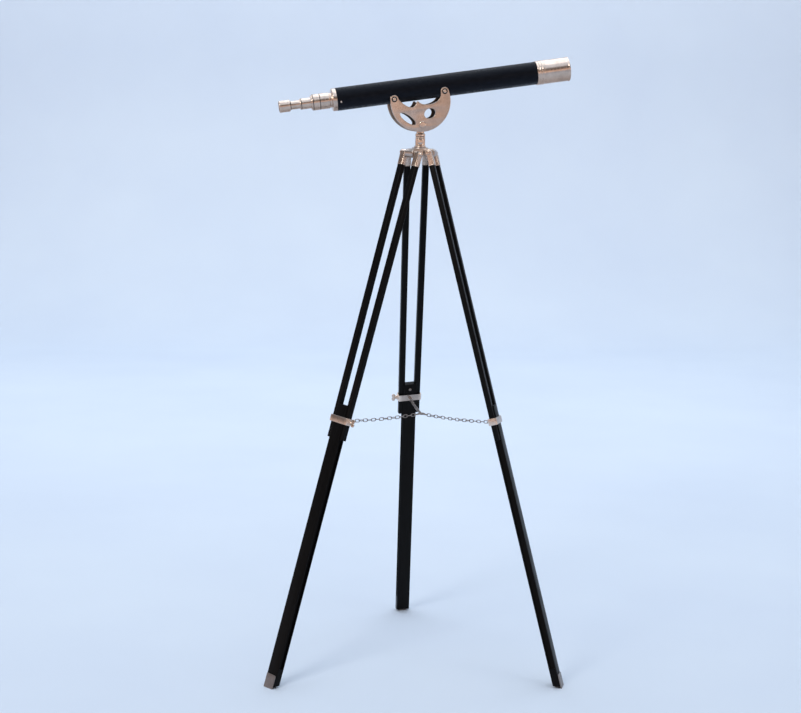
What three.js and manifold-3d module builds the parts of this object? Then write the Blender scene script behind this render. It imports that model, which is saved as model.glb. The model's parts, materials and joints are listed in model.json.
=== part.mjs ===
// Floor-standing nautical telescope: a refractor with nested draw tubes on a crescent yoke,
// over a folding tripod whose three channelled lower legs slide between pairs of slats.
// Millimetres, +Z up.
// The tripod stands on z = 0 with its back foot towards +Y, and the origin is the middle of the
// whole footprint. Until the last step everything is placed about the tripod's centre line.

import * as THREE from 'three';
import { mergeVertices } from 'three/addons/utils/BufferGeometryUtils.js';
import Module from 'manifold-3d';

const wasm = await Module();
wasm.setup();

const rad = THREE.MathUtils.degToRad;
const GAP = 0.3;            // clearance between pieces that touch or slide

// Tripod stance
const HINGE_Z = 1398;       // height of the leg hinges
const HINGE_R = 32;         // hinge distance from the centre line
const FOOT_R = 440;         // foot distance from the centre line
const FOOT_AZIMUTH = { left: 210, back: 90, right: 330 };
const HUB_TURN = 12;        // the hub sits this far round from the feet, as loose hinges allow

// Leg, with distances along it measured down from the hinge
const SLAT_W = 17;          // across the leg
const SLAT_T = 14;          // through the leg
const SLAT_MID_TOP = 26;    // middle of each slat from the leg's centre line, at the hinge
const SLAT_MID_BAND = 22.3;  // the same at the clamp band: the slats close in a little
const SLAT_TOP = 9;
const SLAT_END = 779;
const SLAT_ROUND = 2;       // edge radius
const LOWER_W = 38.5;
const LOWER_T = 19.5;
const LOWER_TOP = 687;
const LOWER_ROUND = 1.6;
const CHANNEL_Y = 13.2;     // floor of the channel down each edge of the lower leg
const CHANNEL_END = 1404;   // the channels stop above the foot
const GUIDE_S = 703;        // guide screw
const GUIDE_HOLE_R = 2.3;
const BAND_S = 728;         // middle of the clamp band
const BAND_H = 18;
const BAND_WALL = 2;
const BOSS_R = 6.5;
const BOSS_LONG = 4.5;
const EYE_R = 5;
const EYE_HOLE_R = 2.6;
const EYE_REACH = 6;        // from the band to the middle of the eye's hole
const EYE_THICK = 3;
const FERRULE_WALL = 1.6;
const FERRULE_LONG = 34;
const BOLT_R = 3;
const SHOE_H = 34;          // height of the foot plate
const SHOE_T = 2.2;
const SHOE_PAD = 5;         // thickness of the pad under the leg's end
const SHOE_PAD_HALF = 9;    // half the pad's width

// Head
const HUB_TOP = 1413;
const HUB_BOTTOM = 1394;
const HUB_R = 22;
const LUG_W = 28;
const SOCKET_R = 13.25;
const SOCKET_TOP = 1441;
const STEM_R = 9;
const PIVOT_Z = 1473.5;     // tilt axis
const PAN = 6.3;            // azimuth of the objective end from +X
const TILT = 8.3;           // rise of the objective end

// Yoke and tube, in the yoke's frame: origin at the tilt axis, x along the tube, z up
const TUBE_AXIS = 93;
const TUBE_R = 30;
const CHEEK_IN = 26;
const CHEEK_T = 6;
const TUBE_REAR = -214;
const TUBE_FRONT = 324;
const CAP_END = 414;
const CAP_R = 31.5;
const TUBE_SIDES = 32;

const BLACK_WOOD = { color: 0x14100f, roughness: 0.35, metalness: 0 };
const NICKEL = { color: 0xc9b8a4, roughness: 0.3, metalness: 1 };
const LEATHER = { color: 0x101012, roughness: 0.5, metalness: 0 };
const BARREL = { color: 0x8f8678, roughness: 0.4, metalness: 1 };
const GLASS = { color: 0xb8cce0, roughness: 0.05, metalness: 0 };

const telescope = new THREE.Group();

// ---- Helpers ----

function named(parent, name, geometry, finish) {
  const mesh = new THREE.Mesh(geometry, new THREE.MeshStandardMaterial(finish));
  mesh.name = name;
  parent.add(mesh);
  return mesh;
}

function solid(geometry) {
  const bare = geometry.clone();
  bare.deleteAttribute('normal');
  bare.deleteAttribute('uv');
  const merged = mergeVertices(bare, 1e-4);
  return new wasm.Manifold(new wasm.Mesh({
    numProp: 3,
    vertProperties: new Float32Array(merged.attributes.position.array),
    triVerts: new Uint32Array(merged.index.array),
  }));
}

function surface(manifold) {
  const mesh = manifold.getMesh();
  const geometry = new THREE.BufferGeometry();
  geometry.setAttribute('position', new THREE.BufferAttribute(mesh.vertProperties, 3));
  geometry.setIndex(new THREE.BufferAttribute(mesh.triVerts, 1));
  return geometry;
}

function combine(base, { add = [], cut = [] }) {
  let result = solid(base);
  for (const piece of add) {
    result = result.add(solid(piece));
  }
  for (const piece of cut) {
    result = result.subtract(solid(piece));
  }
  return surface(result);
}

function box(x0, x1, y0, y1, z0, z1) {
  const geometry = new THREE.BoxGeometry(x1 - x0, y1 - y0, z1 - z0);
  return geometry.translate((x0 + x1) / 2, (y0 + y1) / 2, (z0 + z1) / 2);
}

// Round rod along the x, y or z direction, from one station to another measured from `at`
function rod(axis, r, from, to, at = [0, 0, 0], sides = 14) {
  const geometry = new THREE.CylinderGeometry(r, r, to - from, sides);
  geometry.translate(0, (from + to) / 2, 0);
  if (axis === 'x') geometry.rotateZ(-Math.PI / 2);
  if (axis === 'z') geometry.rotateX(Math.PI / 2);
  return geometry.translate(...at);
}

// Solid of revolution: profile is [radius, station] pairs, and the stations run along `axis`
function turned(axis, profile, sides = 24) {
  const points = profile.map(([r, s]) => new THREE.Vector2(r, s));
  const geometry = new THREE.LatheGeometry(points, sides);
  if (axis === 'x') geometry.rotateZ(-Math.PI / 2);
  if (axis === 'z') geometry.rotateX(Math.PI / 2);
  return geometry;
}

// Ring-shaped profile: the outer outline from one end to the other, closed back through the bore
function sleeve(axis, outer, inner, sides = 28) {
  const loop = [...outer, ...[...inner].reverse(), outer[0]];
  return turned(axis, loop, sides);
}

function roundedOutline(w, h, r) {
  const shape = new THREE.Shape();
  const [x, y] = [w / 2, h / 2];
  shape.moveTo(-x + r, -y);
  shape.lineTo(x - r, -y);
  shape.absarc(x - r, -y + r, r, -Math.PI / 2, 0);
  shape.lineTo(x, y - r);
  shape.absarc(x - r, y - r, r, 0, Math.PI / 2);
  shape.lineTo(-x + r, y);
  shape.absarc(-x + r, y - r, r, Math.PI / 2, Math.PI);
  shape.lineTo(-x, -y + r);
  shape.absarc(-x + r, -y + r, r, Math.PI, Math.PI * 1.5);
  return shape;
}

function upright(shape, zTop, zBottom, curveSegments = 2) {
  const geometry = new THREE.ExtrudeGeometry(shape, {
    depth: zTop - zBottom, bevelEnabled: false, curveSegments,
  });
  return geometry.translate(0, 0, zBottom);
}

// ---- Legs ----

// Leg frame: origin on the hinge bolt, z up the leg, y along the bolt, x away from the centre
function legFrame(azimuth) {
  const hubAzimuth = rad(azimuth + HUB_TURN);
  const hinge = new THREE.Vector3(Math.cos(hubAzimuth), Math.sin(hubAzimuth), 0)
    .multiplyScalar(HINGE_R).setZ(HINGE_Z);
  const foot = new THREE.Vector3(Math.cos(rad(azimuth)), Math.sin(rad(azimuth)), 0)
    .multiplyScalar(FOOT_R);
  const up = hinge.clone().sub(foot);
  const length = up.length();
  up.normalize();
  const bolt = new THREE.Vector3(-Math.sin(hubAzimuth), Math.cos(hubAzimuth), 0);
  bolt.addScaledVector(up, -bolt.dot(up)).normalize();
  const out = new THREE.Vector3().crossVectors(bolt, up);
  const group = new THREE.Group();
  group.setRotationFromMatrix(new THREE.Matrix4().makeBasis(out, bolt, up));
  group.position.copy(hinge);
  return { group, length };
}

// Turns a slat, or the ferrule on it, so that the pair closes in towards the clamp
const SLAT_LEAN = Math.atan((SLAT_MID_TOP - SLAT_MID_BAND) / BAND_S);

function leaned(geometry, side) {
  return geometry.rotateX(-side * SLAT_LEAN).translate(0, side * SLAT_MID_TOP, 0);
}

function slat(side) {
  return leaned(upright(roundedOutline(SLAT_T, SLAT_W, SLAT_ROUND), -SLAT_TOP, -SLAT_END), side);
}

const FERRULE_ROUND = 4.5;

function ferrule(side) {
  const halfT = SLAT_T / 2 + FERRULE_WALL;
  const halfW = SLAT_W / 2 + FERRULE_WALL;
  const shell = upright(roundedOutline(halfT * 2, halfW * 2, FERRULE_ROUND), 0, -FERRULE_LONG);
  const cap = rod('y', halfT, -halfW, halfW);
  const mouth = roundedOutline(SLAT_T + 2 * GAP, SLAT_W + 2 * GAP, SLAT_ROUND + GAP);
  const socket = upright(mouth, -SLAT_TOP + GAP, -FERRULE_LONG - 1);
  const bore = rod('y', BOLT_R + GAP, -halfW - 1, halfW + 1);
  return leaned(combine(shell, { add: [cap], cut: [socket, bore] }), side);
}

// Bolt with a domed head at one end and a nut at the other
function hingeBolt() {
  const end = SLAT_MID_TOP + SLAT_W / 2 + FERRULE_WALL + GAP;
  const nut = [[0, -end - 4.5], [4, -end - 4.5], [5, -end - 3.5], [5, -end]];
  const head = [[5.5, end], [5.5, end + 1.5], [4, end + 3.2], [0, end + 4]];
  return turned('y', [...nut, [BOLT_R, -end], [BOLT_R, end], ...head], 12);
}

const BAND_IN_X = LOWER_T / 2 + GAP;
const BAND_IN_Y = SLAT_MID_BAND + SLAT_W / 2 + 2 * GAP;
const BAND_OUT_X = BAND_IN_X + BAND_WALL;
const BAND_OUT_Y = BAND_IN_Y + BAND_WALL;
const BAND_ROUND = 3.5;
const EYE_X = -BAND_OUT_X - EYE_REACH;        // middle of the chain eye's hole
const CLAMP_R = 2.4;        // clamp screw's shank

function clampBand() {
  const top = -BAND_S + BAND_H / 2;
  const outer = upright(roundedOutline(2 * BAND_OUT_X, 2 * BAND_OUT_Y, BAND_ROUND), top, top - BAND_H);
  const opening = roundedOutline(2 * BAND_IN_X, 2 * BAND_IN_Y, BAND_ROUND - BAND_WALL);
  const inner = upright(opening, top + 1, top - BAND_H - 1);
  const bossEnd = BAND_OUT_Y + BOSS_LONG;
  const boss = rod('y', BOSS_R, BAND_OUT_Y - 1, bossEnd, [0, 0, -BAND_S]);
  const bore = rod('y', CLAMP_R + GAP, BAND_IN_Y - 1, bossEnd + 1, [0, 0, -BAND_S], 12);
  const half = EYE_THICK / 2;
  const eye = rod('z', EYE_R, -half, half, [EYE_X, 0, -BAND_S]);
  const neck = box(EYE_X, -BAND_IN_X - 1, -EYE_R * 0.7, EYE_R * 0.7, -BAND_S - half, -BAND_S + half);
  const hole = rod('z', EYE_HOLE_R, -EYE_THICK, EYE_THICK, [EYE_X, 0, -BAND_S], 10);
  return combine(outer, { add: [boss, eye, neck], cut: [inner, bore, hole] });
}

const WING_R = 4.6;         // clamp screw's two round wings
const WING_HALF = 1.4;

function clampScrew() {
  const start = BAND_IN_Y;
  const collar = BAND_OUT_Y + BOSS_LONG + GAP;
  const shank = turned('y', [
    [0, start], [CLAMP_R, start], [CLAMP_R, collar], [4.4, collar], [4.4, collar + 3],
    [3, collar + 5], [0, collar + 5],
  ], 12);
  const wings = [-1, 1].map((end) => (
    rod('x', WING_R, -WING_HALF, WING_HALF, [0, collar + 7.5, end * WING_R], 12)));
  const web = box(-WING_HALF, WING_HALF, collar + 3, collar + 10, -4, 4);
  return combine(shank, { add: [...wings, web] }).translate(0, 0, -BAND_S);
}

// Stick with a channel down each edge, in which the slats run
function lowerLeg(length, floorCut) {
  const stick = upright(roundedOutline(LOWER_T, LOWER_W, LOWER_ROUND), -LOWER_TOP, -length);
  const hole = rod('x', GUIDE_HOLE_R, -LOWER_T, 3, [0, 0, -GUIDE_S], 10);
  const half = SLAT_T / 2 + GAP;
  const channels = [-1, 1].map((side) => {
    const [y0, y1] = [side * CHANNEL_Y, side * LOWER_W].sort((a, b) => a - b);
    return box(-half, half, y0, y1, -CHANNEL_END, -LOWER_TOP + 1);
  });
  return combine(stick, { cut: [hole, ...channels, floorCut] });
}

function guideScrew() {
  const face = -LOWER_T / 2 - GAP;
  return turned('x', [
    [0, face - 2.2], [2.6, face - 2.2], [4.2, face - 1], [4.2, face], [2, face], [2, 2.6], [0, 2.6],
  ], 10).translate(0, 0, -GUIDE_S);
}

// Plate up the leg's outer face, with a narrower pad turned under its end as a level sole
function footShoe(length, floorCut, padCut) {
  const face = LOWER_T / 2 + GAP;
  const half = LOWER_W / 2 - 2;
  const plate = box(face, face + SHOE_T, -half, half, -length - 8, -length + SHOE_H);
  const pad = box(-LOWER_T / 2 + 2, face + SHOE_T, -SHOE_PAD_HALF, SHOE_PAD_HALF, -length - 8, -length + 14);
  const under = combine(pad, { cut: [padCut] });
  return combine(plate, { add: [under], cut: [floorCut] });
}

// Half-spaces below the floor and above the sole pad, turned into the leg frame
function levelBox(group, z0, z1) {
  group.updateMatrix();
  const slab = box(-1200, 1200, -1200, 1200, z0, z1);
  return slab.applyMatrix4(group.matrix.clone().invert());
}

function buildLeg(name, azimuth) {
  const { group, length } = legFrame(azimuth);
  telescope.add(group);
  const belowFloor = levelBox(group, -60, 0);
  const belowSole = levelBox(group, -60, SHOE_PAD + GAP);
  const aboveSole = levelBox(group, SHOE_PAD, 120);
  for (const [side, tag] of [[-1, 'a'], [1, 'b']]) {
    named(group, `slat_${name}_${tag}`, slat(side), BLACK_WOOD);
    named(group, `ferrule_${name}_${tag}`, ferrule(side), NICKEL);
  }
  named(group, `hinge_bolt_${name}`, hingeBolt(), NICKEL);
  named(group, `clamp_band_${name}`, clampBand(), NICKEL);
  named(group, `clamp_screw_${name}`, clampScrew(), NICKEL);
  named(group, `lower_leg_${name}`, lowerLeg(length + 20, belowSole), BLACK_WOOD);
  named(group, `guide_screw_${name}`, guideScrew(), NICKEL);
  named(group, `foot_shoe_${name}`, footShoe(length, belowFloor, aboveSole), NICKEL);
  group.updateMatrixWorld(true);
  return new THREE.Vector3(EYE_X, 0, -BAND_S).applyMatrix4(group.matrix);
}

const chainEyes = {};
for (const [name, azimuth] of Object.entries(FOOT_AZIMUTH)) {
  chainEyes[name] = buildLeg(name, azimuth);
}

// ---- Spreader chain ----

const RING_AT = [17, -1];   // the ring hangs off the centre line, as its branches are uneven
const RING_R = 9;
const RING_WIRE = 1.6;
const CHAIN_R = 2.6;        // outer radius of the links, as one plain rod
const EYE_CLEAR = 6;        // rod's start from the middle of the eye
const RING_CLEAR = { left: 15.5, back: 11.5, right: 15.5 };   // rod's end from the ring's middle

function buildChain() {
  const middle = new THREE.Vector3(...RING_AT, chainEyes.back.z);
  const ring = new THREE.TorusGeometry(RING_R, RING_WIRE, 6, 20);
  named(telescope, 'chain_ring', ring, NICKEL).position.copy(middle);
  for (const [name, eye] of Object.entries(chainEyes)) {
    const run = middle.clone().sub(eye);
    const length = run.length();
    run.normalize();
    const geometry = rod('x', CHAIN_R, EYE_CLEAR, length - RING_CLEAR[name], [0, 0, 0], 8);
    const mesh = named(telescope, `chain_${name}`, geometry, NICKEL);
    mesh.position.copy(eye);
    mesh.quaternion.setFromUnitVectors(new THREE.Vector3(1, 0, 0), run);
  }
}
buildChain();

// ---- Hub, socket and lock screw ----

const LUG_TOP = HUB_TOP - 3;

// Arm of the hub, rounded about its hinge
function lug(azimuth) {
  const half = LUG_W / 2;
  const arm = box(0, HINGE_R, -half, half, HUB_BOTTOM, LUG_TOP);
  const end = rod('y', LUG_TOP - HINGE_Z, -half, half, [HINGE_R, 0, HINGE_Z]);
  return combine(arm, { add: [end] }).rotateZ(rad(azimuth + HUB_TURN));
}

function buildHub() {
  const plate = turned('z', [
    [0, HUB_BOTTOM], [HUB_R - 2, HUB_BOTTOM], [HUB_R, HUB_BOTTOM + 2],
    [HUB_R, HUB_TOP - 2], [HUB_R - 2, HUB_TOP], [0, HUB_TOP],
  ], 28);
  const lugs = Object.values(FOOT_AZIMUTH).map(lug);
  const bores = Object.values(FOOT_AZIMUTH).map((azimuth) => (
    rod('y', BOLT_R + 1, -LUG_W, LUG_W, [HINGE_R, 0, HINGE_Z]).rotateZ(rad(azimuth + HUB_TURN))));
  const well = rod('z', STEM_R + GAP, HUB_BOTTOM + 6, HUB_TOP + 5);
  named(telescope, 'hub', combine(plate, { add: lugs, cut: [...bores, well] }), NICKEL);
}

const LOCK_Z = 1428;
const LOCK_AZIMUTH = -92;
const LOCK_R = 2.6;

function buildSocket() {
  const body = sleeve('z', [
    [SOCKET_R + 2.5, HUB_TOP + GAP], [SOCKET_R + 2.5, HUB_TOP + 3], [SOCKET_R, HUB_TOP + 5],
    [SOCKET_R, SOCKET_TOP - 1], [SOCKET_R - 1, SOCKET_TOP],
  ], [[STEM_R + GAP, HUB_TOP + GAP], [STEM_R + GAP, SOCKET_TOP]], 20);
  const bore = rod('x', LOCK_R + GAP, STEM_R - 4, 2 * SOCKET_R, [0, 0, 0], 12)
    .rotateZ(rad(LOCK_AZIMUTH)).translate(0, 0, LOCK_Z);
  named(telescope, 'pan_socket', combine(body, { cut: [bore] }), NICKEL);
  const screw = turned('x', [
    [0, STEM_R + GAP], [LOCK_R, STEM_R + GAP], [LOCK_R, SOCKET_R + 1], [5, SOCKET_R + 1],
    [5, SOCKET_R + 3], [8, SOCKET_R + 4], [8, SOCKET_R + 8], [7, SOCKET_R + 9.5], [0, SOCKET_R + 10],
  ], 16);
  const mesh = named(telescope, 'pan_lock_screw', screw, NICKEL);
  mesh.rotation.z = rad(LOCK_AZIMUTH);
  mesh.position.z = LOCK_Z;
}

buildHub();
buildSocket();

// ---- Turning head ----

const pan = new THREE.Group();
pan.rotation.z = rad(PAN);
telescope.add(pan);

const scope = new THREE.Group();
scope.position.z = PIVOT_Z;
scope.rotation.y = -rad(TILT);
pan.add(scope);

const TILT_BOLT_R = 4;
const NECK_R = 10.25;       // stem above its collar
const CROSS_R = 12;         // barrel between the cheeks

// Stem with its cross barrel, which fills the space between the cheeks
function buildStem() {
  const stem = turned('z', [
    [0, HUB_BOTTOM + 7], [STEM_R, HUB_BOTTOM + 7], [STEM_R, SOCKET_TOP + GAP],
    [SOCKET_R - 1, SOCKET_TOP + GAP], [SOCKET_R, SOCKET_TOP + 1.3], [SOCKET_R, SOCKET_TOP + 6],
    [NECK_R, SOCKET_TOP + 9], [NECK_R, PIVOT_Z], [0, PIVOT_Z],
  ], 20);
  const half = CHEEK_IN - GAP;
  const barrel = rod('y', CROSS_R, -half, half, [0, 0, PIVOT_Z]);
  const bore = rod('y', TILT_BOLT_R + GAP, -CHEEK_IN, CHEEK_IN, [0, 0, PIVOT_Z]);
  named(pan, 'yoke_stem', combine(stem, { add: [barrel], cut: [bore] }), NICKEL);
}
buildStem();

// ---- Crescent cheeks ----

const CRESCENT = { x: 2.5, z: 60.7, r: 80 };  // circle of the outer edge
const HORN_REAR = [-66, 74];                  // middles of the rounded horn ends, at the screws
const HORN_FRONT = [69.5, 78];
const HORN_R = 11;
const CUSP = [-5.5, 61];
const YOKE_SCREW_R = 2.2;
const YOKE_SCREW_TIP = 19.5;                  // inner end of the yoke screws, from the middle

function crescentShape() {
  const shape = new THREE.Shape();
  const { x, z, r } = CRESCENT;
  shape.absarc(x, z, r, rad(170), rad(372));
  shape.absarc(...HORN_FRONT, HORN_R, rad(5), rad(178));
  shape.bezierCurveTo(59, 65, 53, 58, 43, 53.5);
  shape.bezierCurveTo(31, 48, 5, 47, CUSP[0] + 2, CUSP[1]);
  shape.lineTo(CUSP[0] - 2, CUSP[1]);
  shape.bezierCurveTo(-13, 46, -22, 45, -33, 51.5);
  shape.bezierCurveTo(-43, 58, -50, 65, HORN_REAR[0] + HORN_R, HORN_REAR[1]);
  shape.absarc(...HORN_REAR, HORN_R, rad(2), rad(176));
  const rear = new THREE.Path();
  rear.absellipse(-36.5, 19.5, 25, 8.5, 0, Math.PI * 2, false, rad(-42));
  const front = new THREE.Path();
  front.absellipse(23, 26, 15.5, 12.5, 0, Math.PI * 2, false, rad(20));
  const pivot = new THREE.Path();
  pivot.absarc(0, 0, TILT_BOLT_R + GAP, 0, Math.PI * 2);
  shape.holes.push(rear, front, pivot);
  return shape;
}

function cheek(side) {
  const plate = new THREE.ExtrudeGeometry(crescentShape(), {
    depth: CHEEK_T, bevelEnabled: false, curveSegments: 9,
  });
  plate.rotateX(Math.PI / 2);
  plate.translate(0, side > 0 ? CHEEK_IN + CHEEK_T : -CHEEK_IN, 0);
  const seat = rod('x', TUBE_R + GAP, TUBE_REAR, TUBE_FRONT, [0, 0, TUBE_AXIS], 48);
  return combine(plate, { cut: [seat, ...yokeBores(0)] });
}

// Cutters for the yoke screws' holes, with the frame's origin at the given height
function yokeBores(origin) {
  const reach = 2 * TUBE_R;
  return [HORN_REAR, HORN_FRONT].map(([x, z]) => (
    rod('y', YOKE_SCREW_R + GAP, -reach, reach, [x, 0, z - origin], 10)));
}

function buildYoke() {
  named(scope, 'cheek_near', cheek(-1), NICKEL);
  named(scope, 'cheek_far', cheek(1), NICKEL);
  const face = CHEEK_IN + CHEEK_T + GAP;
  named(scope, 'tilt_bolt', turned('y', [
    [0, -face - 4], [6, -face - 4], [9, -face - 2.5], [9.5, -face], [TILT_BOLT_R, -face],
    [TILT_BOLT_R, face + 9], [0, face + 9],
  ], 20), NICKEL);
  const bore = TILT_BOLT_R + GAP;
  const knob = sleeve('y', [
    [7, face], [7, face + 3], [11, face + 5], [11, face + 12], [10, face + 13.5], [bore, face + 13.5],
  ], [[bore, face]], 20);
  named(scope, 'tilt_knob', knob, NICKEL);
  const tags = [['rear', HORN_REAR], ['front', HORN_FRONT]];
  for (const [sideTag, side] of [['near', -1], ['far', 1]]) {
    for (const [tag, [x, z]] of tags) {
      named(scope, `yoke_screw_${sideTag}_${tag}`, yokeScrew(side, face).translate(x, 0, z), NICKEL);
    }
  }
}

// Cheese-head screw through a cheek into the tube's wall, its head on the cheek's outer face
function yokeScrew(side, face) {
  const screw = turned('y', [
    [0, YOKE_SCREW_TIP], [YOKE_SCREW_R, YOKE_SCREW_TIP], [YOKE_SCREW_R, face], [6.5, face],
    [6.5, face + 1.5], [4, face + 3.2], [0, face + 3.6],
  ], 10);
  return side < 0 ? screw.rotateZ(Math.PI) : screw;
}
buildYoke();

// ---- Telescope tube ----

const BARREL_R = 28.4;      // tube under the leather
const BARREL_BORE = 26.6;
const SPIGOT = 12;          // how far the tube runs on into the objective cell
const SKIN_BORE = 28.7;
const FLANGE_SCREW_X = TUBE_REAR + 9;
const FLANGE_SCREW_TURN = -14;
const FLANGE_SCREW_R = 1.6;

function flangeBore() {
  const cutter = rod('y', FLANGE_SCREW_R + GAP, -2 * TUBE_R, -22, [FLANGE_SCREW_X, 0, 0], 10);
  return cutter.rotateX(rad(-FLANGE_SCREW_TURN));
}

function buildTube() {
  const optic = new THREE.Group();
  optic.position.z = TUBE_AXIS;
  scope.add(optic);
  const holes = [...yokeBores(TUBE_AXIS), flangeBore()];
  const end = TUBE_FRONT + SPIGOT;
  const barrel = sleeve('x', [[BARREL_R, TUBE_REAR], [BARREL_R, end]],
    [[BARREL_BORE, TUBE_REAR], [BARREL_BORE, end]], TUBE_SIDES);
  named(optic, 'barrel_tube', combine(barrel, { cut: holes }), BARREL);
  const skin = sleeve('x', [[TUBE_R, TUBE_REAR], [TUBE_R, TUBE_FRONT]],
    [[SKIN_BORE, TUBE_REAR], [SKIN_BORE, TUBE_FRONT]], TUBE_SIDES);
  named(optic, 'leather_sleeve', combine(skin, { cut: holes }), LEATHER);
  buildObjective(optic);
  buildEyepiece(optic);
}

const CELL_RINGS = 3;
const CELL_RING_PITCH = 7;
const LENS_R = 28.9;
const LENS_START = 38.5;    // lens from the cell's start
const LENS_END = 49.5;

function buildObjective(optic) {
  const start = TUBE_FRONT + GAP;
  const rings = Array.from({ length: CELL_RINGS }, (_, i) => start + 1 + i * CELL_RING_PITCH)
    .flatMap((s) => [[CAP_R + 0.6, s], [CAP_R + 0.6, s + 3.5], [CAP_R - 0.8, s + 5]]);
  named(optic, 'objective_cell', sleeve('x', [
    [CAP_R - 0.6, start], ...rings, [CAP_R, start + 23], [CAP_R, CAP_END - 4],
    [CAP_R + 0.8, CAP_END - 3], [CAP_R + 0.8, CAP_END],
  ], [
    [SKIN_BORE, start], [SKIN_BORE, start + 28], [27, start + 28], [27, start + 40],
    [29.2, start + 40], [29.2, CAP_END],
  ], TUBE_SIDES), NICKEL);
  named(optic, 'objective_lens', turned('x', [
    [0, start + LENS_START], [14, start + 39.5], [LENS_R, start + 41.5], [LENS_R, start + 45],
    [14, start + 48.5], [0, start + LENS_END],
  ]), GLASS);
  named(optic, 'lens_ring', sleeve('x', [[LENS_R, start + 46], [LENS_R, start + 51]],
    [[26, start + 48.5], [26, start + 51]], 24), NICKEL);
}

const FLANGE_R = 29.6;
const FLANGE_LONG = 11.5;
const FLANGE_SPIGOT = 22;   // length inside the tube
const COLLAR_LONG = 52.5;   // collar and neck behind the flange
const NECK_LONG = 7.5;
const DRAW_BORE = 18.3;
// Draw tubes, widest first: outer radius, bore, bore of the end bush, showing length
const DRAWS = [
  { r: 18, bore: 15.8, bush: 14.6, shows: 3 },
  { r: 14.3, bore: 12.7, bush: 11.5, shows: 29 },
  { r: 11.2, bore: 9.6, bush: 9.6, shows: 28 },
];
const DRAW_HIDDEN = 122;
const BUSH_LONG = 10;
const CUP_LONG = 29;

function buildFlange(optic, seat, collarRear) {
  const flangeRear = seat - FLANGE_LONG;
  const neck = flangeRear - NECK_LONG;
  const body = sleeve('x', [
    [DRAW_BORE + 2.7, collarRear], [DRAW_BORE + 2.7, neck], [DRAW_BORE + 1, neck + 1],
    [DRAW_BORE + 1, flangeRear - 1], [FLANGE_R - 1.6, flangeRear], [FLANGE_R, flangeRear + 1.5],
    [FLANGE_R, seat], [BARREL_BORE - GAP, seat], [BARREL_BORE - GAP, seat + FLANGE_SPIGOT],
  ], [[DRAW_BORE, collarRear], [DRAW_BORE, seat + FLANGE_SPIGOT]], TUBE_SIDES);
  named(optic, 'rear_flange', combine(body, { cut: [flangeBore()] }), NICKEL);
  const screw = turned('y', [
    [0, -32.2], [2, -32], [3, -30.3], [FLANGE_SCREW_R, -30.3], [FLANGE_SCREW_R, -23], [0, -23],
  ], 10).translate(FLANGE_SCREW_X, 0, 0).rotateX(rad(-FLANGE_SCREW_TURN));
  named(optic, 'flange_screw', screw, NICKEL);
}

function buildEyepiece(optic) {
  const seat = TUBE_REAR - GAP;
  const collarRear = seat - FLANGE_LONG - COLLAR_LONG;
  buildFlange(optic, seat, collarRear);
  let rear = collarRear;
  DRAWS.forEach(({ r, bore, bush, shows }, i) => {
    const front = rear + DRAW_HIDDEN;
    const end = rear - shows;
    named(optic, `draw_tube_${i + 1}`, sleeve('x', [[r, end], [r, front]], [
      [bush, end], [bush, end + BUSH_LONG], [bore, end + BUSH_LONG + 1], [bore, front],
    ]), NICKEL);
    rear = end;
  });
  buildEyeCup(optic, rear);
}

function buildEyeCup(optic, tubeEnd) {
  const front = tubeEnd + 2;
  const rear = front - CUP_LONG;
  const socket = DRAWS[DRAWS.length - 1].r + GAP;
  named(optic, 'eye_cup', sleeve('x', [
    [14.4, rear], [15.5, rear + 1.5], [15.5, front - 1], [14.5, front],
  ], [
    [13, rear], [6, rear + 9], [6, rear + 12], [9, rear + 12], [9, tubeEnd - GAP],
    [socket, tubeEnd - GAP], [socket, front],
  ], 24), NICKEL);
  const lens = rear + 12 + GAP;
  named(optic, 'eye_lens', turned('x', [
    [0, lens], [8.7, lens + 0.6], [8.7, lens + 2.5], [4, lens + 4.2], [0, lens + 4.6],
  ], 20), GLASS);
}
buildTube();

// The origin moves to the middle of the footprint box, on the floor
const bounds = new THREE.Box3().setFromObject(telescope, true);
const middle = bounds.getCenter(new THREE.Vector3());
telescope.position.set(-middle.x, -middle.y, -bounds.min.z);

export default telescope;
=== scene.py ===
# The looks of the floor-standing telescope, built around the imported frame. Shapes are drawn in
# millimetres in local frames taken from the record's joints, then placed in metres.

import json
import math
import bmesh
import bpy
from mathutils import Matrix, Vector


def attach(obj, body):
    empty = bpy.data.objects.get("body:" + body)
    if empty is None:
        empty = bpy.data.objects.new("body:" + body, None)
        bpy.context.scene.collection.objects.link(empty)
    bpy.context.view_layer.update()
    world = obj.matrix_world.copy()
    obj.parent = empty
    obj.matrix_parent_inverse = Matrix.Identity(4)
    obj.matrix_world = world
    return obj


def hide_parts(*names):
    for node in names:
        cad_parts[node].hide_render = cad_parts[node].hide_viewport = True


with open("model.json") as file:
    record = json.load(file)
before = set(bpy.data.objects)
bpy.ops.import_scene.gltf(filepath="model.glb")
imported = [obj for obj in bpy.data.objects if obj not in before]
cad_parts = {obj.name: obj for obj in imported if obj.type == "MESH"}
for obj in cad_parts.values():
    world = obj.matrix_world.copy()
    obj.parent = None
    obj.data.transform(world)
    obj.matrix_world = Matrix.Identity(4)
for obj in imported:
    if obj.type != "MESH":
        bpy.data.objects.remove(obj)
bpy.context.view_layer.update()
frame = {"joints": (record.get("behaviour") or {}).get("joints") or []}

JOINTS = {joint["name"]: joint for joint in frame["joints"]}
MM = 0.001
GAP = 0.3           # clearance between pieces that meet, in millimetres
LEGS = ("left", "back", "right")


# ---- Local frames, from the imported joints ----

def local_frame(origin, x, y, z):
    columns = Matrix((x, y, z)).transposed().to_4x4()
    return Matrix.Translation(origin) @ columns


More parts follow.
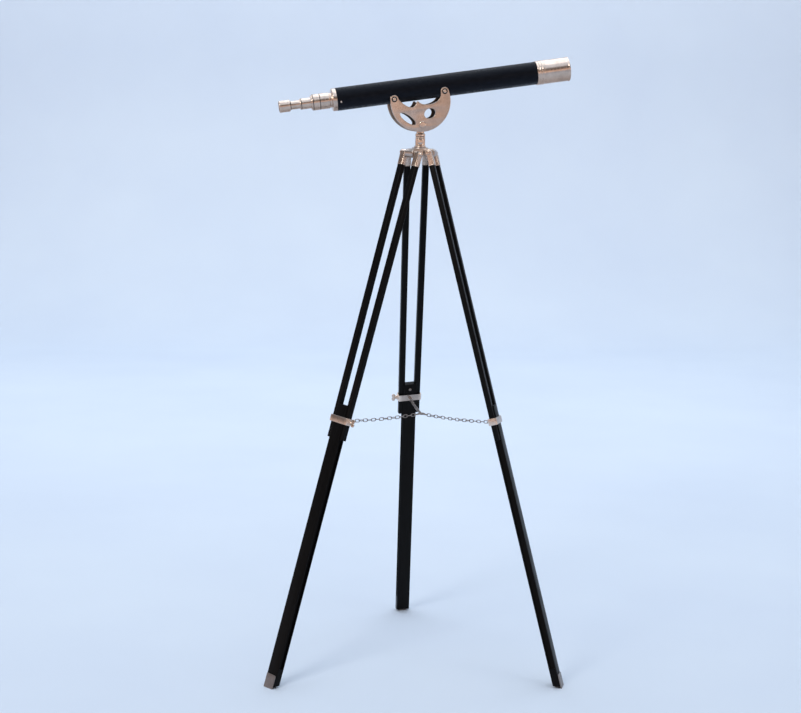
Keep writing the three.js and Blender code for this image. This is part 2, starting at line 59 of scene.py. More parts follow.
def leg_frame(name):
    """Origin on the hinge bolt, z up the leg, y along the bolt, x away from the centre."""
    fold = JOINTS[f"fold_{name}"]
    y = Vector(fold["axis"]).normalized()
    z = Vector(JOINTS[f"extend_{name}"]["axis"]).normalized()
    return local_frame(Vector(fold["pos_m"]), y.cross(z), y, z)


def chain_frame(name):
    """Origin in the clamp's eye, x towards the centre ring, z up."""
    swing = JOINTS[f"chain_swing_{name}"]
    y = Vector(swing["axis"]).normalized()
    z = Vector((0, 0, 1))
    return local_frame(Vector(swing["pos_m"]), y.cross(z), y, z)


pan_at = Vector(JOINTS["pan"]["pos_m"])
CENTRE = Vector((pan_at.x, pan_at.y, 0))
tilt = JOINTS["tilt"]
tube_x = -Vector(JOINTS["draw_1_slide"]["axis"]).normalized()
tilt_y = -Vector(tilt["axis"]).normalized()
SCOPE = local_frame(Vector(tilt["pos_m"]), tube_x, tilt_y, tube_x.cross(tilt_y))
HEAD = local_frame(CENTRE, Vector((tilt_y.y, -tilt_y.x, 0)), tilt_y, Vector((0, 0, 1)))
HUB = local_frame(CENTRE, Vector((1, 0, 0)), Vector((0, 1, 0)), Vector((0, 0, 1)))


# ---- Camera, at the photograph's angle ----

# The photograph's camera: its place in metres, its turns in degrees, and its lens
CAMERA_BACK, CAMERA_UP = 4.406, 1.554
CAMERA_TURNS = (-3.7, -0.551, 9.07, 0.98)
SENSOR, FOCAL_PIXELS, PHOTO_WIDTH = 36, 1650, 801


def make_camera():
    """Stands the camera off from the centre line, turned about it, then aimed and rolled."""
    turn, yaw, pitch, roll = (math.radians(a) for a in CAMERA_TURNS)
    forward = Vector((math.sin(yaw) * math.cos(pitch),
                      math.cos(yaw) * math.cos(pitch), -math.sin(pitch)))
    right = Vector((math.cos(yaw), -math.sin(yaw), 0))
    up = right.cross(forward)
    level_right = right * math.cos(roll) + up * math.sin(roll)
    level_up = up * math.cos(roll) - right * math.sin(roll)
    around = Matrix.Translation(CENTRE) @ Matrix.Rotation(turn, 4, "Z")
    data = bpy.data.cameras.new("camera")
    data.sensor_width = SENSOR
    data.lens = SENSOR * FOCAL_PIXELS / PHOTO_WIDTH
    data.clip_end = 100
    camera = bpy.data.objects.new("camera", data)
    bpy.context.scene.collection.objects.link(camera)
    camera.matrix_world = around @ local_frame(
        Vector((0, -CAMERA_BACK, CAMERA_UP)), level_right, level_up, -forward)
    bpy.context.scene.camera = camera


make_camera()


# ---- Materials ----

class Look:
    """A small node-graph helper around one Principled material."""

    def __init__(self, name, color, metallic=0.0, roughness=0.5):
        self.material = bpy.data.materials.new(name)
        self.material.use_nodes = True
        self.tree = self.material.node_tree
        self.shader = self.tree.nodes["Principled BSDF"]
        self.shader.inputs["Base Color"].default_value = (*color, 1)
        self.shader.inputs["Metallic"].default_value = metallic
        self.shader.inputs["Roughness"].default_value = roughness

    def node(self, kind, **settings):
        made = self.tree.nodes.new(kind)
        for key, value in settings.items():
            setattr(made, key, value)
        return made

    def link(self, source, target):
        self.tree.links.new(source, target)

    def local(self, stretch):
        """Coordinates in the piece's own frame, in millimetres, scaled along each axis."""
        attribute = self.node("ShaderNodeAttribute", attribute_name="local")
        mapping = self.node("ShaderNodeMapping")
        mapping.inputs["Scale"].default_value = stretch
        self.link(attribute.outputs["Vector"], mapping.inputs["Vector"])
        return mapping.outputs["Vector"]

    def noise(self, vector, scale, detail=4, roughness=0.55):
        made = self.node("ShaderNodeTexNoise")
        made.inputs["Scale"].default_value = scale
        made.inputs["Detail"].default_value = detail
        made.inputs["Roughness"].default_value = roughness
        self.link(vector, made.inputs["Vector"])
        return made.outputs["Fac"]

    def ramp(self, factor, low, high, colors):
        made = self.node("ShaderNodeValToRGB")
        for element, place, color in zip(made.color_ramp.elements, (low, high), colors):
            element.position = place
            element.color = (*color, 1)
        self.link(factor, made.inputs["Fac"])
        return made.outputs["Color"]

    def range(self, value, low, high, from_low=0.3, from_high=0.7):
        made = self.node("ShaderNodeMapRange")
        made.inputs["From Min"].default_value = from_low
        made.inputs["From Max"].default_value = from_high
        made.inputs["To Min"].default_value = low
        made.inputs["To Max"].default_value = high
        self.link(value, made.inputs["Value"])
        return made.outputs["Result"]

    def axes(self, vector):
        """The vector's parts, by the names X, Y and Z."""
        made = self.node("ShaderNodeSeparateXYZ")
        self.link(vector, made.inputs["Vector"])
        return made.outputs

    def unsigned(self, value):
        made = self.node("ShaderNodeMath", operation="ABSOLUTE")
        self.link(value, made.inputs[0])
        return made.outputs["Value"]

    def facing(self):
        """How far the surface faces up, from -1 to 1."""
        return self.axes(self.node("ShaderNodeNewGeometry").outputs["Normal"])["Z"]

    def shaded(self, color, value, dark_at, full_at, dark):
        """The colour brought down to a part of itself where the value reaches dark_at."""
        mixed = self.node("ShaderNodeVectorMath", operation="SCALE")
        self.link(color, mixed.inputs["Vector"])
        self.link(self.range(value, dark, 1, dark_at, full_at), mixed.inputs["Scale"])
        return mixed.outputs["Vector"]

    def bump(self, height, strength, distance, before=None):
        made = self.node("ShaderNodeBump")
        made.inputs["Strength"].default_value = strength
        made.inputs["Distance"].default_value = distance
        self.link(height, made.inputs["Height"])
        if before:
            self.link(before, made.inputs["Normal"])
        return made.outputs["Normal"]

    def color(self):
        """The colour that the shader is fed so far."""
        return self.shader.inputs["Base Color"].links[0].from_socket

    def feed(self, **sockets):
        """Feeds the shader by these names, and gives its material."""
        names = {"color": "Base Color", "roughness": "Roughness", "normal": "Normal"}
        for key, output in sockets.items():
            self.link(output, self.shader.inputs[names[key]])
        return self.material


# Painted shade on nickel where it faces down.
UNDERSIDE_SHADE = (0.52, 0.41, 0.34)      # how much of its colour nickel keeps where it faces down
CRESCENT = (2.5, 60.7, 80)          # centre and radius of the crescents' rim, from the tilt pivot
CHEEK_IN, CHEEK_T = 26, 6           # a crescent's inner face from the middle, and its thickness


def nickel(name, tint, stretch, polish, relief=0.22):
    """Nickel plate with fine scratches along one way, soft cloudiness and painted shade on its
    underside.
    """
    look = Look(name, tint, metallic=1.0, roughness=polish)
    scratches = look.noise(look.local(stretch), 1.0, detail=3)
    clouds = look.noise(look.local((0.06, 0.06, 0.06)), 1.0, detail=5)
    dark = tuple(c * 0.84 for c in tint)
    color = look.ramp(clouds, 0.35, 0.62, (dark, tint))
    roughness = look.range(scratches, polish - 0.2 * relief, polish + 0.4 * relief)
    normal = look.bump(scratches, relief, 0.00012)
    look.shader.inputs["Anisotropic"].default_value = 0.35
    # Painted shade: the colour is darkened and warmed where the surface faces down.
    painted_underside_shade = look.ramp(look.range(look.facing(), 0, 1, -0.9, 0.12), 0, 1, (UNDERSIDE_SHADE, (1, 1, 1)))
    toned = look.node("ShaderNodeVectorMath", operation="MULTIPLY")
    look.link(color, toned.inputs[0])
    look.link(painted_underside_shade, toned.inputs[1])
    look.feed(color=toned.outputs["Vector"], roughness=roughness, normal=normal)
    return look


def cheek_plate(name, tint, polish):
    """The crescents' plate: painted shade darker towards the front, and painted shade on its inner
    face within the rim.
    """
    look = nickel(name, tint, (0.9, 0.12, 0.9), polish, 0.08)
    x, z, radius = CRESCENT
    place = look.axes(look.local((1, 1, 1)))
    # Painted shade on the inner face, which faces the other crescent; the rim is left lighter.
    inner = look.range(look.unsigned(place["Y"]), 0.16, 1, CHEEK_IN + 0.2, CHEEK_IN + 2.2)
    reach = look.node("ShaderNodeVectorMath", operation="DISTANCE")
    look.link(look.local((1, 0, 1)), reach.inputs[0])
    reach.inputs[1].default_value = (x, 0, z)
    rim = look.range(reach.outputs["Value"], 0, 0.62, radius - 12, radius - 4)
    painted_shading = look.node("ShaderNodeMath", operation="MAXIMUM")
    look.link(inner, painted_shading.inputs[0])
    look.link(rim, painted_shading.inputs[1])
    color = look.shaded(look.color(), painted_shading.outputs["Value"], 0, 1, 0)
    # Painted shade: darker towards the front.
    return look.feed(color=look.shaded(color, place["X"], 90, -60, 0.8))


def strap_metal(name, dull, highlight_tint):
    """The clamp bands' nickel: a painted highlight towards the ends, duller along the faces."""
    look = nickel(name, dull, (0.15, 1.6, 0.4), 0.28)
    ends = look.unsigned(look.axes(look.local((1, 1, 1)))["Y"])
    # Painted highlight: the colour blends towards the highlight tint at the band's ends.
    end_highlight = look.node("ShaderNodeMix", data_type="RGBA")
    look.link(look.range(ends, 0, 0.85, 22, 31), end_highlight.inputs["Factor"])
    look.link(look.color(), end_highlight.inputs["A"])
    end_highlight.inputs["B"].default_value = (*highlight_tint, 1)
    return look.feed(color=end_highlight.outputs["Result"])


def black_wood():
    """Black lacquer over close-grained wood, with the pores just showing along the stick."""
    look = Look("black_wood", (0.007, 0.006, 0.006), roughness=0.36)
    grain = look.noise(look.local((0.9, 0.9, 0.018)), 1.0, detail=6, roughness=0.6)
    dust = look.noise(look.local((0.03, 0.03, 0.012)), 1.0, detail=4)
    color = look.ramp(grain, 0.36, 0.68, ((0.0022, 0.0023, 0.0025), (0.0068, 0.0062, 0.0062)))
    roughness = look.range(dust, 0.3, 0.46)
    fine = look.bump(grain, 0.35, 0.00025)
    look.shader.inputs["Specular IOR Level"].default_value = 0.075
    look.shader.inputs["Coat Weight"].default_value = 0.025
    look.shader.inputs["Coat Roughness"].default_value = 0.2
    return look.feed(color=color, roughness=roughness, normal=fine)


def leather():
    """Black leather wrap: small pebbled cells, soft creases and a low sheen."""
    look = Look("black_leather", (0.006, 0.006, 0.007), roughness=0.42)
    cells = look.node("ShaderNodeTexVoronoi", feature="DISTANCE_TO_EDGE")
    cells.inputs["Scale"].default_value = 0.85
    look.link(look.local((1, 1, 1)), cells.inputs["Vector"])
    creases = look.noise(look.local((0.05, 0.14, 0.14)), 1.0, detail=5)
    pebble = look.range(cells.outputs["Distance"], 0.0, 1.0, 0.02, 0.32)
    color = look.ramp(creases, 0.3, 0.7, ((0.0028, 0.0026, 0.0034), (0.0068, 0.0064, 0.0078)))
    roughness = look.range(pebble, 0.5, 0.33, 0.0, 1.0)
    soft = look.bump(creases, 0.25, 0.0012)
    normal = look.bump(pebble, 0.3, 0.00022, before=soft)
    look.shader.inputs["Specular IOR Level"].default_value = 0.15
    # Painted reflection: the specular tint turns the leather's reflections blue.
    look.shader.inputs["Specular Tint"].default_value = (0.55, 0.72, 1.0, 1)
    look.shader.inputs["Sheen Weight"].default_value = 0.006
    look.shader.inputs["Sheen Roughness"].default_value = 0.4
    return look.feed(color=color, roughness=roughness, normal=normal)


def black_paint_and_shade():
    """Matt black paint inside the tube, with faint turned lines. Also used for the painted shadow
    lines and the painted shade round the yoke screws.
    """
    look = Look("black_paint_and_shade", (0.01, 0.01, 0.01), roughness=0.8)
    lines = look.noise(look.local((0.9, 0.05, 0.05)), 1.0)
    color = look.ramp(lines, 0.3, 0.7, ((0.006, 0.006, 0.006), (0.02, 0.019, 0.018)))
    return look.feed(color=color, normal=look.bump(lines, 0.3, 0.0002))


def lens_glass():
    """Coated glass: clear, with a faint blue-violet bloom and a few specks of dust."""
    look = Look("lens_glass", (0.62, 0.68, 0.86), roughness=0.03)
    dust = look.noise(look.local((0.4, 0.4, 0.4)), 1.0, detail=8, roughness=0.7)
    roughness = look.range(dust, 0.02, 0.14, 0.55, 0.75)
    color = look.ramp(dust, 0.4, 0.75, ((0.6, 0.66, 0.88), (0.78, 0.74, 0.9)))
    look.shader.inputs["Transmission Weight"].default_value = 0.85
    look.shader.inputs["IOR"].default_value = 1.52
    look.shader.inputs["Coat Weight"].default_value = 0.6
    look.shader.inputs["Coat Tint"].default_value = (0.7, 0.75, 1.0, 1)
    return look.feed(color=color, roughness=roughness)


WARM = (0.86, 0.715, 0.61)
GREY = (0.68, 0.60, 0.545)
STEEL = (0.30, 0.275, 0.265)
TURNED = nickel("nickel_turned", WARM, (2.4, 0.05, 0.05), 0.22).material       # rings round local x
CAST = nickel("nickel_cast", WARM, (0.9, 0.9, 0.12), 0.25, 0.08).material
CHEEK = cheek_plate("nickel_cheek", WARM, 0.27)
FITTING = nickel("nickel_fitting", GREY, (0.15, 1.6, 0.4), 0.3).material
STRAP = strap_metal("nickel_strap", GREY, WARM)
SMALL = nickel("nickel_small", WARM, (1.2, 1.2, 1.2), 0.2).material
DULL = nickel("nickel_dull", STEEL, (1.2, 1.2, 1.2), 0.36).material
WOOD = black_wood()
LEATHER = leather()
BLACK_AND_SHADE = black_paint_and_shade()
GLASS = lens_glass()


# ---- Mesh building, in local millimetres ----

ON_AXIS = 1e-6          # a radius below this is the axis itself


def soften(points, radius, closed, steps=3):
    """Rounds the corners of a profile. Points on the axis stay sharp."""
    rounded = []
    count = len(points)
    for i, point in enumerate(points):
        here = Vector(point)
        inner = closed or 0 < i < count - 1
        if not inner or here.x < ON_AXIS:
            rounded.append(tuple(here))
            continue
        before = Vector(points[i - 1]) - here
        after = Vector(points[(i + 1) % count]) - here
        reach = min(radius, before.length * 0.45, after.length * 0.45)
        first = here + before.normalized() * reach
        last = here + after.normalized() * reach
        for step in range(steps + 1):
            t = step / steps
            rounded.append(tuple(first * (1 - t) ** 2 + here * 2 * t * (1 - t) + last * t * t))
    return rounded


# Turns the lathe's own axis, z, to the axis named
AXES = {"x": Matrix(((0, 0, 1), (1, 0, 0), (0, 1, 0))),
        "y": Matrix(((0, 1, 0), (0, 0, 1), (1, 0, 0))),
        "z": Matrix.Identity(3)}


def lathe(profile, axis="x", closed=False, soft=0.6, segments=64, at=(0, 0, 0), flip=False):
    """Turns (radius, station) points round an axis. flip runs the stations the other way."""
    mesh = bmesh.new()
    turn = AXES[axis]
    rings = []
    sign = -1 if flip else 1
    for radius, station in soften(profile, soft, closed):
        count = 1 if radius < ON_AXIS else segments
        ring = []
        for i in range(count):
            angle = math.tau * i / segments
            spot = Vector((radius * math.cos(angle), radius * math.sin(angle), sign * station))
            ring.append(mesh.verts.new(turn @ spot + Vector(at)))
        rings.append(ring)
    pairs = list(zip(rings, rings[1:]))
    if closed:
        pairs.append((rings[-1], rings[0]))
    for a, b in pairs:
        for i in range(segments):
            j = (i + 1) % segments
            corners = [a[i % len(a)], a[j % len(a)], b[j % len(b)], b[i % len(b)]]
            corners = list(dict.fromkeys(corners))
            if len(corners) > 2:
                mesh.faces.new(corners)
    return sealed(mesh)


def sealed(mesh):
    """A bmesh as mesh data, with its faces pointing out."""
    bmesh.ops.recalc_face_normals(mesh, faces=mesh.faces)
    data = bpy.data.meshes.new("shape")
    mesh.to_mesh(data)
    mesh.free()
    return data


def held(data):
    """Mesh or curve data as an object in the scene."""
    thing = bpy.data.objects.new("shape", data)
    bpy.context.scene.collection.objects.link(thing)
    return thing


def baked(thing, *helpers):
    """The object's mesh with its modifiers applied. The object and its helpers are removed."""
    bpy.context.view_layer.update()
    graph = bpy.context.evaluated_depsgraph_get()
    data = bpy.data.meshes.new_from_object(thing.evaluated_get(graph))
    for used in (thing, *helpers):
        bpy.data.objects.remove(used)
    return data


def plate(outlines, z0, z1, bevel=0.6, steps=2):
    """Flat outlines, the first with the rest as holes, made into a plate with rounded edges."""
    curve = bpy.data.curves.new("outline", "CURVE")
    curve.dimensions = "2D"
    curve.fill_mode = "BOTH"
    curve.extrude = (z1 - z0) / 2 - bevel
    curve.bevel_depth = bevel
    curve.bevel_resolution = steps
    curve.offset = -bevel
    for outline in outlines:
        spline = curve.splines.new("POLY")
        spline.points.add(len(outline) - 1)
        for point, (x, y) in zip(spline.points, outline):
            point.co = (x, y, 0, 1)
        spline.use_cyclic_u = True
    data = baked(held(curve))
    merged = bmesh.new()
    merged.from_mesh(data)
    bmesh.ops.remove_doubles(merged, verts=merged.verts, dist=1e-3)
    data = sealed(merged)
    data.transform(Matrix.Translation((0, 0, (z0 + z1) / 2)))
    return data


def laid(x, y, thickness):
    """The turn that takes a flat plate's x, y and thickness to the directions given."""
    return Matrix((x, y, thickness)).transposed().to_4x4()


UPRIGHT = laid((1, 0, 0), (0, 0, 1), (0, -1, 0))        # facing local y
ACROSS = laid((0, 1, 0), (0, 0, 1), (1, 0, 0))          # facing local x, drawn outwards and up
ON_FACE = laid((0, 0, -1), (0, 1, 0), (1, 0, 0))        # facing local x, drawn down and across
SIDEWAYS = laid((0, 0, -1), (1, 0, 0), (0, 1, 0))       # facing local y, drawn down and outwards


def moved(data, matrix):
    data.transform(matrix)
    return data


def combined(base, others, operation):
    """base with the other meshes joined or cut away."""
    thing = held(base)
    helpers = []
    for other in others:
        helper = held(other)
        helpers.append(helper)
        modifier = thing.modifiers.new("boolean", "BOOLEAN")
        modifier.operation = operation
        modifier.solver = "EXACT"
        modifier.object = helper
    return baked(thing, *helpers)


def joined(*parts):
    """Several separate closed meshes as one."""
    whole = bmesh.new()
    for data in parts:
        whole.from_mesh(data)
    return sealed(whole)


def sliced(data, at, normal, matrix):
    """Cuts away what lies on the normal's side of a plane given in metres, and closes the cut."""
    back = (matrix @ Matrix.Scale(MM, 4)).inverted()
    mesh = bmesh.new()
    mesh.from_mesh(data)
    direction = (back.to_3x3() @ Vector(normal)).normalized()
    everything = list(mesh.verts) + list(mesh.edges) + list(mesh.faces)
    cut = bmesh.ops.bisect_plane(mesh, geom=everything, plane_co=back @ Vector(at),
                                 plane_no=direction, clear_outer=True)
    rim = [item for item in cut["geom_cut"] if isinstance(item, bmesh.types.BMEdge)]
    bmesh.ops.holes_fill(mesh, edges=rim)
    return sealed(mesh)


def arc(cx, cy, r, start, end, steps=8):
    """Points along a circle, from one angle in degrees to another."""
    angles = [math.radians(start + (end - start) * i / steps) for i in range(steps + 1)]
    return [(cx + r * math.cos(a), cy + r * math.sin(a)) for a in angles]


def rounded_rect(w, h, r, steps=5):
    x, y = w / 2 - r, h / 2 - r
    return (arc(x, -y, r, -90, 0, steps) + arc(x, y, r, 0, 90, steps)
            + arc(-x, y, r, 90, 180, steps) + arc(-x, -y, r, 180, 270, steps))


def ellipse(cx, cy, a, b, turn, steps=40):
    cos, sin = math.cos(math.radians(turn)), math.sin(math.radians(turn))
    points = []
    for i in range(steps):
        t = math.tau * i / steps
        x, y = a * math.cos(t), b * math.sin(t)
        points.append((cx + x * cos - y * sin, cy + x * sin + y * cos))
    return points


def bezier(p0, p1, p2, p3, steps=12):
    """Points along a cubic curve, without its first."""
    points = []
    for i in range(1, steps + 1):
        t = i / steps
        u = 1 - t
        points.append(tuple(u ** 3 * a + 3 * u * u * t * b + 3 * u * t * t * c + t ** 3 * d
                            for a, b, c, d in zip(p0, p1, p2, p3)))
    return points


def piece(name, data, matrix, body, material, nodes=(), sharp=35):
    data.name = name
    local = data.attributes.new("local", "FLOAT_VECTOR", "POINT")
    local.data.foreach_set("vector", [c for v in data.vertices for c in v.co])
    data.transform(matrix @ Matrix.Scale(MM, 4))
    data.materials.clear()
    data.materials.append(material)
    data.shade_smooth()
    data.set_sharp_from_angle(angle=math.radians(sharp))
    thing = bpy.data.objects.new(name, data)
    bpy.context.scene.collection.objects.link(thing)
    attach(thing, body)
    if nodes:
        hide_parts(*nodes)


# ---- Legs ----

SLAT_W, SLAT_T, SLAT_ROUND = 17, 14, 2.4
SLAT_TOP, SLAT_END = -9, -779
SLAT_MID_TOP, SLAT_MID_BAND = 26, 22.3
LOWER_W, LOWER_T, LOWER_TOP = 38.5, 19.5, -687
CHANNEL_Y, CHANNEL_END = 13.2, -1404
GUIDE_Z = -703
BAND_Z, BAND_H, BAND_WALL = -728, 18, 2
BAND_X, BAND_Y = LOWER_T / 2 + GAP, SLAT_MID_BAND + SLAT_W / 2 + 0.6
EYE_X = -BAND_X - BAND_WALL - 6
FERRULE_WALL, FERRULE_LONG, FERRULE_ROUND = 1.6, 34, 5
WING_R, WING_HALF = 5.2, 2
SHOE_PAD, SHOE_PAD_HALF = 5, 9
SHOE_DOWN, SHOE_UP = 12, 34         # from where the leg's centre line meets the floor
LEAN = math.atan((SLAT_MID_TOP - SLAT_MID_BAND) / -BAND_Z)


def leaned(data, side):
    """Puts a slat or its ferrule on its side of the leg, closing in towards the clamp."""
    tilted = Matrix.Rotation(-side * LEAN, 4, "X")
    return moved(data, Matrix.Translation((0, side * SLAT_MID_TOP, 0)) @ tilted)


def slat(side):
    return leaned(plate([rounded_rect(SLAT_T, SLAT_W, SLAT_ROUND)], SLAT_END, SLAT_TOP, 0.5), side)


def ferrule(side):
    """Cap over the slat's end, rounded over the hinge bolt, with a rolled lip at its mouth."""
    x, y = SLAT_T + 2 * FERRULE_WALL, SLAT_W + 2 * FERRULE_WALL
    mouth = -FERRULE_LONG
    body = plate([rounded_rect(x, y, FERRULE_ROUND)], mouth, 0, 0.5)
    lip = plate([rounded_rect(x + 0.5, y + 0.5, FERRULE_ROUND + 0.2)], mouth, mouth + 2.4, 0.7)
    crown = lathe([(0, -y / 2), (x / 2, -y / 2), (x / 2, y / 2), (0, y / 2)], "y", soft=1.6,
                  segments=48)
    whole = combined(body, [lip, crown], "UNION")
    hollow = rounded_rect(SLAT_T + 0.5, SLAT_W + 0.5, SLAT_ROUND)
    cutter = plate([hollow], mouth - 2, SLAT_TOP + 0.2, 0.1)
    return leaned(combined(whole, [cutter], "DIFFERENCE"), side)


def hinge_bolt():
    """Bolt through both ferrules and the lug, with a domed head and its nut."""
    end = SLAT_MID_TOP + SLAT_W / 2 + FERRULE_WALL + GAP
    head = [(0, end + 4), (2.6, end + 3.8), (4.6, end + 2.6), (5.5, end + 1), (5.5, end), (3, end)]
    nut = [(3, -end), (5, -end), (5, -end - 3.5), (4.2, -end - 4.4), (0, -end - 4.5)]
    return lathe(head + nut, "y", soft=0.5, segments=32)


def clamp_band():
    """Strap round both slats, with a threaded boss and an eye for the chain."""
    low, high = BAND_Z - BAND_H / 2, BAND_Z + BAND_H / 2
    wall = BAND_Y + BAND_WALL
    strap = plate([rounded_rect(2 * (BAND_X + BAND_WALL), 2 * wall, 3.5, 8),
                   rounded_rect(2 * BAND_X, 2 * BAND_Y, 1.8, 6)], low, high, 0.45)
    boss = lathe([(0, wall - 1.5), (6.5, wall - 1.5), (6.5, wall + 4.5), (0, wall + 4.5)], "y",
                 soft=0.9, segments=40, at=(0, 0, BAND_Z))
    tab = [(-BAND_X - 1, -3.4), (-BAND_X - 1, 3.4)] + arc(EYE_X, 0, 5, 75, 285, 20)
    eye = plate([tab, ellipse(EYE_X, 0, 2.6, 2.6, 0, 24)], BAND_Z - 1.5, BAND_Z + 1.5, 0.5)
    return combined(strap, [boss, eye], "UNION")


def clamp_screw():
    """Thumb screw with two rounded wings."""
    start, collar = BAND_Y, BAND_Y + BAND_WALL + 4.8
    shank = lathe([(0, start), (2.4, start), (2.4, collar), (4.4, collar), (4.4, collar + 3),
                   (3, collar + 5), (0, collar + 5.4)], "y", soft=0.5, segments=32)
    middle = collar + 7.5
    outline = (arc(middle, WING_R, WING_R, -75, 165, 14)
               + [(collar + 3, WING_R / 2), (collar + 3, -WING_R / 2)]
               + arc(middle, -WING_R, WING_R, 195, 435, 14))
    wing = plate([outline], -WING_HALF, WING_HALF, 0.9, 3)
    screw = combined(shank, [moved(wing, ACROSS)], "UNION")
    return moved(screw, Matrix.Translation((0, 0, BAND_Z)))


def lower_leg(matrix):
    """A stick with softened edges and a channel down each side, in which the slats run."""
    stick = plate([rounded_rect(LOWER_T, LOWER_W, 1.9, 4)], leg_end(matrix) - 20, LOWER_TOP, 0.9)
    half = SLAT_T / 2 + GAP
    cutters = []
    for side in (-1, 1):
        y0, y1 = sorted((side * CHANNEL_Y, side * LOWER_W))
        channel = [(-half, y0), (half, y0), (half, y1), (-half, y1)]
        cutters.append(plate([channel], CHANNEL_END, LOWER_TOP + 2, 0.1, 1))
    stick = combined(stick, cutters, "DIFFERENCE")
    return sliced(stick, (0, 0, (SHOE_PAD + GAP) * MM), (0, 0, -1), matrix)


def leg_end(matrix):
    """Station along the leg where its centre line meets the floor."""
    return -matrix.translation.z / matrix.col[2].z / MM


def guide_screw():
    """Screw with a dimpled head on the lower leg's inner face."""
    face = -LOWER_T / 2 - 0.2
    head = [(0, face - 1.4), (0.7, face - 1.4), (0.9, face - 2.3), (2.8, face - 2.1),
            (4.2, face - 0.9), (4.2, face), (2, face), (2, 2.6), (0, 2.6)]
    return lathe(head, "x", soft=0.3, segments=32, at=(0, 0, GUIDE_Z))


def foot_shoe(matrix):
    """Plate up the leg's outer face, with a narrower pad turned under its end as a level sole."""
    end = leg_end(matrix)
    face, half = LOWER_T / 2 + GAP, LOWER_W / 2 - 2
    upright = plate([rounded_rect(SHOE_UP + SHOE_DOWN, 2 * half, 2.5)], face, face + 2.2, 0.6)
    middle = end + (SHOE_UP - SHOE_DOWN) / 2
    upright = moved(upright, Matrix.Translation((0, 0, middle)) @ ON_FACE)
    inner, outer = -LOWER_T / 2 + 2, face + 2
    low, high = end - SHOE_DOWN, end + 20
    pad = [(inner, low), (outer, low), (outer, high), (inner, high)]
    under = moved(plate([[(-z, x) for x, z in pad]], -SHOE_PAD_HALF, SHOE_PAD_HALF, 1.2), SIDEWAYS)
    under = sliced(under, (0, 0, SHOE_PAD * MM), (0, 0, 1), matrix)
    head = [(0, face + 1.5), (2.6, face + 1.5), (2.6, face + 2.5), (1.6, face + 3.1),
            (0, face + 3.2)]
    screws = [lathe(head, "x", soft=0.3, segments=24, at=(0, y, end + 24)) for y in (-10, 10)]
    shoe = combined(upright, [under, *screws], "UNION")
    return sliced(shoe, (0, 0, 0), (0, 0, -1), matrix)


def build_leg(name):
    matrix = leg_frame(name)
    upper, lower = f"leg_upper_{name}", f"leg_lower_{name}"
    for side, tag in ((-1, "a"), (1, "b")):
        piece(f"slat_wood_{name}_{tag}", slat(side), matrix, upper, WOOD,
              [f"slat_{name}_{tag}"])
        piece(f"ferrule_cap_{name}_{tag}", ferrule(side), matrix, upper, CAST,
              [f"ferrule_{name}_{tag}"])
    piece(f"bolt_{name}", hinge_bolt(), matrix, upper, SMALL, [f"hinge_bolt_{name}"])
    piece(f"band_{name}", clamp_band(), matrix, upper, STRAP, [f"clamp_band_{name}"])
    piece(f"thumb_screw_{name}", clamp_screw(), matrix, f"clamp_screw_{name}", SMALL,
          [f"clamp_screw_{name}"])
    piece(f"lower_wood_{name}", lower_leg(matrix), matrix, lower, WOOD,
          [f"lower_leg_{name}"])
    piece(f"guide_{name}", guide_screw(), matrix, lower, DULL, [f"guide_screw_{name}"])
    piece(f"shoe_{name}", foot_shoe(matrix), matrix, lower, DULL, [f"foot_shoe_{name}"])


# ---- Spreader chain ----

WIRE = 1.0
LINKS = 18
LINK_W = 9.5
LINK_STRAY = 12         # how far a link may stray from its quarter turn, in degrees
RING_R, RING_WIRE = 9, 1.6
RING_AT = CENTRE + Vector((17, -1, 0)) * MM         # the ring hangs off the centre line
CHAIN_START, CHAIN_SAG = 1.6, 4.0
WIRE_SHARP = 60


def wire_loop(path, radius, sides=8):
    """A closed round wire along a closed path."""
    mesh = bmesh.new()
    count = len(path)
    rings = []
    for i, point in enumerate(path):
        ahead = (path[(i + 1) % count] - path[i - 1]).normalized()
        side = ahead.cross(Vector((0, 0, 1))).normalized()
        over = side.cross(ahead)
        rings.append([mesh.verts.new(point + radius * (math.cos(a) * side + math.sin(a) * over))
                      for a in (math.tau * k / sides for k in range(sides))])
    for i in range(count):
        a, b = rings[i], rings[(i + 1) % count]
        for k in range(sides):
            mesh.faces.new((a[k], a[(k + 1) % sides], b[(k + 1) % sides], b[k]))
    return sealed(mesh)


def link(length):
    """One link lying flat: two round bends and the straights between them."""
    bend = LINK_W / 2 - WIRE
    reach = length / 2 - LINK_W / 2
    outline = arc(reach, 0, bend, -90, 90, 10) + arc(-reach, 0, bend, 90, 270, 10)
    return wire_loop([Vector((x, y, 0)) for x, y in outline], WIRE)


def chain(name):
    """Interlocked links from the clamp's eye to the ring, each turned a quarter on the last."""
    matrix = chain_frame(name)
    ring = Vector((RING_AT.x, RING_AT.y, matrix.translation.z))
    run = (ring - matrix.translation).length / MM
    first, last = CHAIN_START, run - RING_R + RING_WIRE + WIRE
    pitch = (last - first) / LINKS - 2 * WIRE / LINKS
    length = pitch + 4 * WIRE
    parts = []
    for i in range(LINKS):
        middle = first + WIRE + (i + 0.5) * pitch
        t = middle / run
        sag = -4 * CHAIN_SAG * t * (1 - t)
        slope = math.atan(4 * CHAIN_SAG * (1 - 2 * t) / run)
        roll = math.radians(90 if i % 2 == 0 else 0) + math.radians(LINK_STRAY * math.sin(i * 2.4))
        place = (Matrix.Translation((middle, 0, sag)) @ Matrix.Rotation(slope, 4, "Y")
                 @ Matrix.Rotation(roll, 4, "X"))
        parts.append(moved(link(length), place))
    piece(f"chain_links_{name}", joined(*parts), matrix, f"chain_{name}", DULL,
          [f"chain_{name}"], WIRE_SHARP)


